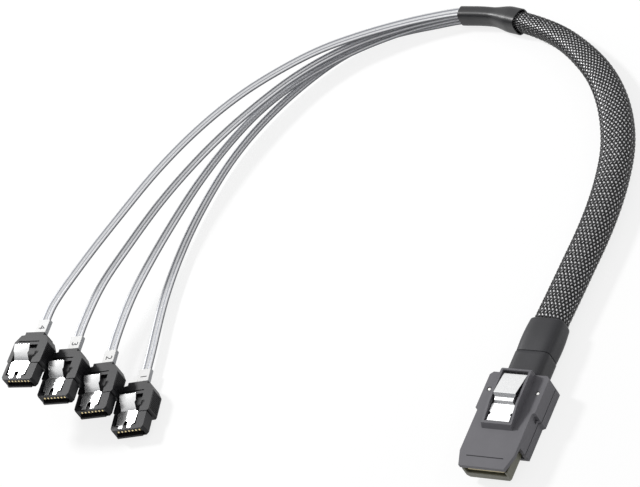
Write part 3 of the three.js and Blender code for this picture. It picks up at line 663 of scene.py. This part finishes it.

# Labels. A short wrap of white printed film on each ribbon, right behind its plug, with a plain number that
# tells the branches apart. The film is a little wider than the ribbon; where it turns down at its sides it
# carries a painted shade, a thin grey edge.
LABEL_THICKNESS = 1.75
LABEL_WIDTH = 4.4
LABEL_FILM = 0.2
LABEL_FLAT = 0.92                 # share of the label's width that lies flat
LABEL_SIDE = 0.8                  # share of its thickness that stands upright
FIGURE_SIZE = 3.4
FIGURE_DEPTH = 0.01
FIGURE_LIFT = 0.012

# Printed polyester film: white, smooth and faintly glossy, with painted shade in grey where it turns down at its
# sides.
label_film, tree, shader = new_material("white_label_film")
# Painted shade: grey on the turned-down sides of the wrap.
painted_side_shade = add_node(tree, "ShaderNodeMapRange", {
    "Value": calc(tree, "ABSOLUTE", across(tree)), "From Min": 0.93, "From Max": 0.97}).outputs[0]
film_grain = noise(tree, scale=1500.0, detail=2.0)
feed(tree, shader, {
    "Base Color": shades(tree, painted_side_shade, "f2f2f1", "aeb0b3"),
    "Roughness": spread(tree, film_grain, 0.38, 0.55),
    "Normal": relief(tree, film_grain, depth=0.01, strength=0.3)})

# Printing ink: matt near-black.
ink, tree, shader = new_material("label_ink")
ink_spread = noise(tree, scale=3000.0, detail=1.0)
feed(tree, shader, {"Base Color": shades(tree, ink_spread, "2a2a2c", "46464a"), "Roughness": 0.7})


def label_wrap(number):
    half_w = LABEL_WIDTH / 2
    half_t = LABEL_THICKNESS / 2
    flat = half_w * LABEL_FLAT
    side = half_t * LABEL_SIDE
    corners = [(flat, -half_t), (half_w, -side), (half_w, side), (flat, half_t),
               (-flat, half_t), (-half_w, side), (-half_w, -side), (-flat, -half_t)]
    inner = [(x * (1 - LABEL_FILM / half_w), z * (1 - LABEL_FILM / half_t)) for x, z in corners]
    matrix = plug_matrix(number)
    ends = (PLUG_LENGTH + GAP, PLUG_LENGTH + GAP + LABEL_LENGTH)
    outside, inside = (
        [[matrix @ Vector((x, y, PLUG_CABLE_HEIGHT + z)) for x, z in edge] for y in ends]
        for edge in (corners, inner))
    wrap = tube(f"label_{number}_film", outside, inside, label_film)
    mark_across(wrap.data, [x / half_w for x, _ in corners] * 2 + [x / half_w for x, _ in inner] * 2)
    return wrap


def label_number(number):
    letters = bpy.data.curves.new(f"label_{number}_number", "FONT")
    letters.body = str(number)
    letters.size = FIGURE_SIZE
    letters.extrude = FIGURE_DEPTH
    letters.align_x = "CENTER"
    letters.align_y = "CENTER"
    holder = placed("number_source", letters)
    seen = holder.evaluated_get(bpy.context.evaluated_depsgraph_get())
    mesh = bpy.data.meshes.new_from_object(seen)
    bpy.data.objects.remove(holder)
    middle = (0, PLUG_LENGTH + GAP + LABEL_LENGTH / 2, PLUG_CABLE_HEIGHT + LABEL_THICKNESS / 2 + FIGURE_LIFT)
    quarter_turn = Matrix.Rotation(math.radians(-90), 4, "Z")
    mesh.transform(plug_matrix(number) @ Matrix.Translation(middle) @ quarter_turn)
    return as_piece(f"label_{number}_number", mesh, ink)


for number in (1, 2, 3, 4):
    seat(label_wrap(number), trunk_body, "label_film", f"sata{number}_label")
    seat(label_number(number), trunk_body, "label_film")

# Wide plug shells. Two halves moulded in black glass-filled nylon, the upper one with the raised wall round the
# latch, the lower one with the flat base. Two steel pins hold them together.
SHELL_EDGE = 0.14 * MM
MERGED = 2e-6                     # points nearer than this are one
FLAT_ANGLE = math.radians(1)
BROKEN_ANGLE = math.radians(28)


def rounded_node(node, name, edge, material, segments=2):
    """A CAD node's shape with its points merged and its edges broken, as a moulded or ground piece has them."""
    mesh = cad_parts[node].data.copy()
    work = bmesh.new()
    work.from_mesh(mesh)
    bmesh.ops.remove_doubles(work, verts=work.verts, dist=MERGED)
    bmesh.ops.dissolve_limit(work, angle_limit=FLAT_ANGLE, verts=work.verts, edges=work.edges)
    work.to_mesh(mesh)
    work.free()
    for name_left in [a.name for a in mesh.attributes if a.name == "custom_normal"]:
        mesh.attributes.remove(mesh.attributes[name_left])
    mesh.materials.clear()
    mesh.materials.append(material)
    for polygon in mesh.polygons:
        polygon.use_smooth = True
        polygon.material_index = 0
    piece = placed(name, mesh)
    bevel = piece.modifiers.new("broken_edge", "BEVEL")
    bevel.width = edge
    bevel.segments = segments
    bevel.limit_method = "ANGLE"
    bevel.angle_limit = BROKEN_ANGLE
    bevel.harden_normals = True
    return plain_mesh(piece)


def moulded(name, dark, light, gloss, grain, depth, ior, sheen=0.5):
    """A moulded plastic: two near shades, the gloss between two values, and a grain with a size and depth in
    millimetres."""
    material, tree, shader = new_material(name)
    cloud = noise(tree, scale=180.0, detail=3.0)
    texture = noise(tree, scale=1 / (grain * MM), detail=3.0, Roughness=0.6)
    feed(tree, shader, {
        "Base Color": shades(tree, cloud, dark, light),
        "Roughness": spread(tree, texture, *gloss),
        "Normal": relief(tree, texture, depth, strength=0.6),
        "IOR": ior,
        "Specular IOR Level": sheen})
    return material


# Glass-filled nylon: greyish black with a fine spark-eroded grain, so wide faces look mid grey under soft light.
filled_nylon = moulded(
    "glass_filled_nylon", "66656a", "737277", gloss=(0.45, 0.62), grain=0.22, depth=0.02, ior=1.53, sheen=0.35)
for half in ("upper", "lower"):
    shell = rounded_node(f"sas_{half}_shell", f"wide_plug_{half}_shell", SHELL_EDGE, filled_nylon)
    seat(shell, trunk_body, "plug_shell", f"sas_{half}_shell")

# Shell pins. Short nickel-plated steel rods pressed through both shells, with their ends left bright and domed.
PIN_X = 8.3
PIN_Y = 26.8
PIN_BASE = 1.8
PIN_TOP = 8.15
PIN_RADIUS = 0.6
PIN_RING = 28
PIN_CREASE = 50
PIN_PROFILE = [                   # share of the radius, height
    (0.8, PIN_BASE), (1, PIN_BASE + 0.15), (1, PIN_TOP - 0.2), (0.86, PIN_TOP - 0.07), (0.5, PIN_TOP)]

# Bright nickel: almost white, with a soft turned face.
nickel, tree, shader = new_material("bright_nickel")
turned = noise(tree, scale=4000.0, detail=1.0)
feed(tree, shader, {
    "Roughness": spread(tree, turned, 0.18, 0.34), "Base Color": rgb("f0efec"), "Metallic": 1.0})

for side, word in ((-1, "left"), (1, "right")):
    rings = []
    for share, height in PIN_PROFILE:
        ring = []
        for k in range(PIN_RING):
            angle = k / PIN_RING * math.tau
            x = side * PIN_X + math.cos(angle) * PIN_RADIUS * share
            y = PIN_Y + BASE_SHIFT + math.sin(angle) * PIN_RADIUS * share
            ring.append(Vector((x, y, height)) * MM)
        rings.append(ring)
    pin = as_piece(f"shell_pin_{word}", ringed(f"shell_pin_{word}", rings), nickel, PIN_CREASE)
    seat(pin, trunk_body, "latch_steel", f"sas_pin_{word}")

# Nose. A channel of olive-grey liquid-crystal polymer that shields the card's edge and guides the plug in.
NOSE_EDGE = 0.3 * MM

# Liquid-crystal polymer: smooth olive grey with a low gloss.
nose_polymer = moulded("nose_polymer", "5c5b4c", "6b6a58", gloss=(0.3, 0.45), grain=0.3, depth=0.012, ior=1.6)
nose = rounded_node("sas_nose_shroud", "nose_channel", NOSE_EDGE, nose_polymer, 3)
seat(nose, trunk_body, "nose_shroud", "sas_nose_shroud")

# Paddle card. A glass-epoxy board whose front edge slides into the host, with a row of gold pads on each face.
CARD_HALF = 6.65
CARD_FRONT = 0.9
CARD_BASE = 4.9
CARD_THICKNESS = 1.0
CARD_CHAMFER = 0.6
PADS = 18
PAD_PITCH = 0.72
PAD_WIDTH = 0.42
PAD_FRONT = 1.4
PAD_BACK = 5.9
PAD_THICKNESS = 0.05
ROW_CREASE = math.radians(35)

# Glass-epoxy laminate: pale tan, with the layers of cloth showing as fine lines on its cut edge.
laminate, tree, shader = new_material("glass_epoxy_laminate")
place = add_node(tree, "ShaderNodeTexCoord")
layers = add_node(tree, "ShaderNodeTexWave", {
    "Vector": place.outputs["Object"], "Scale": 900.0, "Distortion": 1.5, "Detail": 2.0},
    bands_direction="Z").outputs["Fac"]
feed(tree, shader, {
    "Base Color": shades(tree, layers, "cdbf92", "efe5c4"),
    "Normal": relief(tree, layers, depth=0.02, strength=0.4),
    "Roughness": 0.5})

# Hard gold over nickel: warm yellow, polished by the rolling and slightly mottled.
hard_gold, tree, shader = new_material("hard_gold_plate")
mottle = noise(tree, scale=1800.0, detail=2.0)
feed(tree, shader, {
    "Base Color": shades(tree, mottle, "e3cc8c", "f5e6bd"),
    "Roughness": spread(tree, mottle, 0.16, 0.32),
    "Metallic": 1.0})


def block_mesh(name, x0, x1, y0, y1, z0, z1, chamfer=0.0):
    """Box in millimetres beside the plug, its upright front corners cut off."""
    outline = [(x1 - chamfer, y0), (x1, y0 + chamfer), (x1, y1), (x0, y1), (x0, y0 + chamfer), (x0 + chamfer, y0)]
    if not chamfer:
        outline = [(x1, y0), (x1, y1), (x0, y1), (x0, y0)]
    return ringed(name, [[(x, y, z) for x, y in outline] for z in (z0, z1)])


def row_tree():
    """Copies of a small shape in an even row, made into one mesh."""
    tree, given = new_group("even_row", {
        "Count": "Int", "Start": "Vector", "Step": "Vector", "Shape": "Object", "Finish": "Material"})
    row = add_node(tree, "GeometryNodeMeshLine", {
        "Count": given["Count"], "Start Location": given["Start"], "Offset": given["Step"]}, mode="OFFSET")
    shape = add_node(tree, "GeometryNodeObjectInfo", {"Object": given["Shape"]})
    copies = add_node(tree, "GeometryNodeInstanceOnPoints", {
        "Points": row.outputs[0], "Instance": shape.outputs["Geometry"]})
    end_group(tree, copies.outputs[0], given["Finish"])
    return tree


even_row = row_tree()


def row_of(name, mesh, count, start, pitch, material, matrix):
    """A row of one small shape, laid out in millimetres beside a plug and then put in its place."""
    turn_outward(mesh)
    pattern = placed("row_pattern", mesh)
    piece = node_piece(name, even_row, {
        "Count": count, "Start": (start, 0, 0), "Step": (pitch, 0, 0), "Shape": pattern, "Finish": material})
    bpy.data.objects.remove(pattern)
    piece.data.transform(matrix)
    for polygon in piece.data.polygons:
        polygon.use_smooth = True
    piece.data.set_sharp_from_angle(angle=ROW_CREASE)
    return piece


wide_plug = Matrix.Translation((0, BASE_SHIFT * MM, 0)) @ Matrix.Scale(MM, 4)
card_top = CARD_BASE + CARD_THICKNESS
card_mesh = block_mesh(
    "paddle_card_board", -CARD_HALF, CARD_HALF, CARD_FRONT, CARD_BACK, CARD_BASE, card_top, CARD_CHAMFER)
card_mesh.transform(wide_plug)
seat(as_piece("paddle_card_board", card_mesh, laminate), trunk_body, "circuit_card", "sas_paddle_card")
first_pad = -(PADS - 1) * PAD_PITCH / 2
for word, base in (("upper", card_top), ("lower", CARD_BASE - PAD_THICKNESS)):
    pad = block_mesh("pad", -PAD_WIDTH / 2, PAD_WIDTH / 2, PAD_FRONT, PAD_BACK, base, base + PAD_THICKNESS)
    pads = row_of(f"card_pads_{word}", pad, PADS, first_pad, PAD_PITCH, hard_gold, wide_plug)
    seat(pads, trunk_body, "circuit_card")

# Soldered ends. A block moulded round the card's tail and the ribbon ends, hidden in the shells.
BLOCK_EDGE = 0.3 * MM

# Hot-melt polyamide: dull black and slightly uneven.
hot_melt = moulded("hot_melt_polyamide", "1f1f20", "2d2d2e", gloss=(0.45, 0.65), grain=0.8, depth=0.05, ior=1.5)
ends = rounded_node("sas_termination_block", "moulded_ends", BLOCK_EDGE, hot_melt)
seat(ends, trunk_body, "mould_block", "sas_termination_block")

# Latches. Each is stamped from spring steel strip and bent, and held at its front end; pressing the raised plate
# tips it down. The wide plug has one, every drive plug a smaller one with a forked front end.
WIDE_LATCH_EDGE = 0.1 * MM
LATCH_EDGE = 0.07 * MM
ROLLING_LINES = (5200.0, 500.0, 5200.0)

# Rolled spring steel: bright and white, with the faint lines of the rolling along its length.
rolled_steel, tree, shader = new_material("rolled_spring_steel")
place = add_node(tree, "ShaderNodeTexCoord")
stretched = add_node(tree, "ShaderNodeMapping", {"Vector": place.outputs["Object"], "Scale": ROLLING_LINES})
lines = add_node(
    tree, "ShaderNodeTexNoise", {"Vector": stretched.outputs[0], "Scale": 1.0, "Detail": 3.0}).outputs["Fac"]
feed(tree, shader, {
    "Base Color": shades(tree, lines, "dddee0", "f3f3f2"),
    "Roughness": spread(tree, lines, 0.2, 0.34),
    "Normal": relief(tree, lines, depth=0.006, strength=0.35),
    "Metallic": 1.0})

wide_latch = rounded_node("sas_latch", "wide_plug_latch", WIDE_LATCH_EDGE, rolled_steel, 3)
seat(wide_latch, "sas_latch_lever", "latch_steel", "sas_latch")
for number in (1, 2, 3, 4):
    latch = rounded_node(f"sata{number}_latch", f"drive_plug_{number}_latch", LATCH_EDGE, rolled_steel, 3)
    seat(latch, f"sata{number}_latch_lever", "latch_steel", f"sata{number}_latch")

# Boot. Soft black vinyl moulded over the ribbons behind the wide plug: a flat collar at the shells, a slightly
# swollen grip, and a spigot that the sleeve is pushed over.
BOOT_START = 33.3
BOOT_SHOULDER = 41.5
BOOT_END = 54
BOOT_WIDTH = 11.8
BOOT_HEIGHT = 7.6
COLLAR_ROUND = 0.8                # length of the collar's rounded front
COLLAR_ROWS = 12
COLLAR_SQUARENESS = 7.0
GROOVE_DEPTH = 0.16
GROOVE = ((0.02, 6.5), (0.22, 6.0))   # distance behind the collar, squareness
GRIP_LEAD = 0.3
GRIP_TAIL = 0.6
GRIP_ROWS = 20
GRIP_SQUARENESS = (5.5, 4.2)      # at its front and at its back
GRIP_SWELL = 0.5
SWELL_RISE = 0.6                  # how much the grip swells upward, beside how much it swells sideways
SPIGOT_LENGTH = 4
SPIGOT_SIZE = (9.5, 5.5)
SPIGOT_SQUARENESS = 3
SPIGOT_EDGE = 0.3
BORE_SIZE = (8.3, 2.97)
BORE_SQUARENESS = 9
BOOT_RING = 72

# Soft vinyl: dark satin grey with a fine moulded grain.
soft_vinyl = moulded(
    "soft_vinyl", "29292c", "38383c", gloss=(0.34, 0.46), grain=0.35, depth=0.03, ior=1.52, sheen=0.3)
shoulder = BOOT_SHOULDER - BOOT_START
grip_end = BOOT_END - BOOT_START
# Distance along, swell, squareness and how far the edge stands out, from the collar over the groove to the grip.
rounded = ((0.0, -0.35), (0.25, -0.08), (COLLAR_ROUND, 0.0))
profile = [(along, 0.0, COLLAR_SQUARENESS, inset) for along, inset in rounded]
for k in range(1, COLLAR_ROWS + 1):
    along = mix(COLLAR_ROUND, shoulder - 0.2, k / COLLAR_ROWS)
    profile.append((along, 0.0, COLLAR_SQUARENESS, 0.0))
profile += [(shoulder + along, 0.0, squareness, -GROOVE_DEPTH) for along, squareness in GROOVE]
for k in range(GRIP_ROWS + 1):
    share = k / GRIP_ROWS
    along = mix(shoulder + GRIP_LEAD, grip_end - GRIP_TAIL, share)
    profile.append((along, GRIP_SWELL * math.sin(math.pi * share), mix(*GRIP_SQUARENESS, share), 0.0))
profile += [(grip_end - 0.3, 0.0, GRIP_SQUARENESS[1], -0.12), (grip_end, 0.0, GRIP_SQUARENESS[1], -0.45)]


def boot_ring(y, width, height, squareness):
    """Points round the boot at a distance from the plug's nose, in metres."""
    return [Vector((-x, (y + BASE_SHIFT) * MM, TRUNK_HEIGHT * MM + z))
            for x, z in oval(width * MM, height * MM, squareness, BOOT_RING)]


boot_rows = []
for along, swell, squareness, inset in profile:
    boot_rows.append(boot_ring(
        BOOT_START + along, BOOT_WIDTH + swell + 2 * inset, BOOT_HEIGHT + swell * SWELL_RISE + 2 * inset,
        squareness))
for along, inset in ((0.0, 0.0), (SPIGOT_LENGTH - SPIGOT_EDGE, 0.0), (SPIGOT_LENGTH, SPIGOT_EDGE)):
    boot_rows.append(boot_ring(BOOT_END + along, SPIGOT_SIZE[0] - inset, SPIGOT_SIZE[1] - inset, SPIGOT_SQUARENESS))
boot_inner = [boot_ring(y, *BORE_SIZE, BORE_SQUARENESS) for y in (BOOT_START, BOOT_END + SPIGOT_LENGTH)]
boot = tube("strain_relief", boot_rows, boot_inner, soft_vinyl)
seat(boot, trunk_body, "boot", "strain_relief_boot")

# Drive plug housings. A thin front housing with the mouth and key, and a thicker rear body with ribbed sides for
# the fingers, both moulded in black polyester.
FRONT_EDGE = 0.07 * MM
BODY_EDGE = 0.09 * MM

# Moulded polyester: satin black, its gloss a little uneven.
polyester = moulded(
    "moulded_polyester", "171719", "212124", gloss=(0.34, 0.48), grain=0.2, depth=0.014, ior=1.55, sheen=0.2)
for number in (1, 2, 3, 4):
    front = rounded_node(f"sata{number}_housing", f"drive_plug_{number}_front", FRONT_EDGE, polyester)
    seat(front, trunk_body, "drive_plug", f"sata{number}_housing")
    rear = rounded_node(f"sata{number}_rear_body", f"drive_plug_{number}_body", BODY_EDGE, polyester)
    seat(rear, trunk_body, "drive_plug", f"sata{number}_rear_body")

# Contacts. Seven gold-plated springs in each drive plug, sprung upward at the mouth and held by a moulded wafer.
CONTACTS = 7
CONTACT_PITCH = 1.27
CONTACT_MIDDLE = 0.4
CONTACT_WIDTH = 0.5
CONTACT_SHEET = 0.2
CONTACT_LINE = [                  # distance from the mouth and height of the spring's upper face, in millimetres
    (0.08, 4.08), (0.08, 4.52), (0.16, 4.66), (0.32, 4.72), (1.2, 4.45), (1.6, 4.0), (1.9, 3.85), (4.5, 3.85),
    (4.85, 3.76), (5.15, 3.6), (5.5, 3.28), (5.9, 3.25), (11.35, 3.25)]
WAFER_FRONT = 8.8
WAFER_BACK = 11.2
WAFER_BASE = 3.0
WAFER_TOP = 3.45

# Wafer polymer: smooth dull black.
wafer_polymer = moulded("wafer_polymer", "1a1a1c", "262629", gloss=(0.4, 0.55), grain=0.3, depth=0.01, ior=1.6)


def contact_mesh():
    """One spring: a rounded tip that rises in the mouth, a long arm and a tail, as a strip of even thickness."""
    lower = []
    for i, (y, z) in enumerate(CONTACT_LINE):
        y0, z0 = CONTACT_LINE[max(i - 1, 0)]
        y1, z1 = CONTACT_LINE[min(i + 1, len(CONTACT_LINE) - 1)]
        run = math.hypot(y1 - y0, z1 - z0)
        lower.append((y + (z1 - z0) / run * CONTACT_SHEET, z - (y1 - y0) / run * CONTACT_SHEET))
    outline = CONTACT_LINE + lower[::-1]
    edges = (-CONTACT_WIDTH / 2, CONTACT_WIDTH / 2)
    return ringed("contact_spring", [[(x, y, z) for y, z in outline] for x in edges])


first_contact = CONTACT_MIDDLE - (CONTACTS - 1) / 2 * CONTACT_PITCH
wafer_half = CONTACTS * CONTACT_PITCH / 2
for number in (1, 2, 3, 4):
    springs = row_of(
        f"contact_springs_{number}", contact_mesh(), CONTACTS, first_contact, CONTACT_PITCH, hard_gold,
        plug_matrix(number))
    seat(springs, trunk_body, "contact_gold", f"sata{number}_contact_wafer")
    wafer_mesh = block_mesh(
        "wafer", CONTACT_MIDDLE - wafer_half, CONTACT_MIDDLE + wafer_half, WAFER_FRONT, WAFER_BACK,
        WAFER_BASE, WAFER_TOP)
    wafer_mesh.transform(plug_matrix(number))
    seat(as_piece(f"contact_wafer_{number}", wafer_mesh, wafer_polymer), trunk_body, "contact_gold")

# Studio. A white sweep, a soft lamp behind the lead on the left and a weak one on the right, as in a catalogue
# picture. Camera, gloss and glass see the background as plain white.
FLOOR_SIZE = 6.0
FLOOR_DROP = 0.0002               # the floor lies this far below the lead
FLOOR_GLOW = 1.12
SHADOW_KEPT = 0.28
ROOM_LIGHT = 0.36
WHITE = (1.0, 1.0, 1.0, 1.0)
LAMP_TARGET = Vector((-0.09, 0.06, 0))
LAMPS = (("key_lamp", (-0.85, 0.25, 0.75), 0.18, 7.6), ("rim_lamp", (0.75, 0.35, 0.62), 0.12, 0.35))
FLAG_TOWARD = Vector((-0.576, -0.73, 0.36))
FLAG_DISTANCE = 0.9
FLAG_SIZE = (0.42, 0.3)
SQUARE = ((-1, -1), (1, -1), (1, 1), (-1, 1))


def seen_rays(tree):
    """1 for the rays of the camera, of gloss and of glass, 0 for those that light the lead."""
    rays = add_node(tree, "ShaderNodeLightPath").outputs
    camera_or_gloss = calc(tree, "MAXIMUM", rays["Is Camera Ray"], rays["Is Glossy Ray"])
    return calc(tree, "MAXIMUM", camera_or_gloss, rays["Is Transmission Ray"])


def staged(name, corners, material):
    """A flat sheet of the set."""
    mesh = bpy.data.meshes.new(name)
    mesh.from_pydata(corners, [], [(0, 1, 2, 3)])
    mesh.materials.append(material)
    sheet = placed(name, mesh)
    return sheet


# White paper: matt where it takes the shadow, glowing where it is seen.
paper, tree, shader = new_material("white_paper")
tree.nodes.remove(shader)
matt = add_node(tree, "ShaderNodeBsdfDiffuse", {"Color": rgb("f4f4f4")})
bright = add_node(tree, "ShaderNodeEmission", {"Color": WHITE, "Strength": FLOOR_GLOW})
share = calc(tree, "MULTIPLY", seen_rays(tree), 1 - SHADOW_KEPT)
blend = add_node(tree, "ShaderNodeMixShader", {0: share, 1: matt.outputs[0], 2: bright.outputs[0]})
feed(tree, tree.nodes["Material Output"], {"Surface": blend.outputs[0]})
staged("floor", [(x * FLOOR_SIZE / 2, y * FLOOR_SIZE / 2, -FLOOR_DROP) for x, y in SQUARE], paper)

world = bpy.data.worlds.new("studio")
bpy.context.scene.world = world
world.use_nodes = True
tree = world.node_tree
tree.nodes.clear()
room = add_node(tree, "ShaderNodeBackground", {"Color": WHITE, "Strength": ROOM_LIGHT})
white = add_node(tree, "ShaderNodeBackground", {"Color": WHITE, "Strength": 1.0})
choice = add_node(tree, "ShaderNodeMixShader", {0: seen_rays(tree), 1: room.outputs[0], 2: white.outputs[0]})
add_node(tree, "ShaderNodeOutputWorld", {"Surface": choice.outputs[0]})

for name, place, size, power in LAMPS:
    lamp = bpy.data.lights.new(name, "AREA")
    lamp.shape = "DISK"
    lamp.size = size
    lamp.energy = power
    holder = placed(name, lamp)
    holder.location = place
    holder.rotation_euler = (LAMP_TARGET - Vector(place)).to_track_quat("-Z", "Y").to_euler()

# Grey flag in front of the set. Only gloss sees it, so bright metal gets a grey band and its bends can be read.
cloth, tree, shader = new_material("front_flag_cloth")
tree.nodes.remove(shader)
grey = add_node(tree, "ShaderNodeEmission", {"Color": rgb("8c8d90")})
feed(tree, tree.nodes["Material Output"], {"Surface": grey.outputs[0]})
direction = FLAG_TOWARD.normalized()
side = direction.cross(UP).normalized()
rise = side.cross(direction)
centre = VIEW_CENTRE + direction * FLAG_DISTANCE
flag_corners = [centre + side * FLAG_SIZE[0] * a + rise * FLAG_SIZE[1] * b for a, b in SQUARE]
flag = staged("front_flag", flag_corners, cloth)
flag.visible_camera = False
flag.visible_diffuse = False
flag.visible_shadow = False

bpy.context.scene.view_settings.view_transform = "Standard"
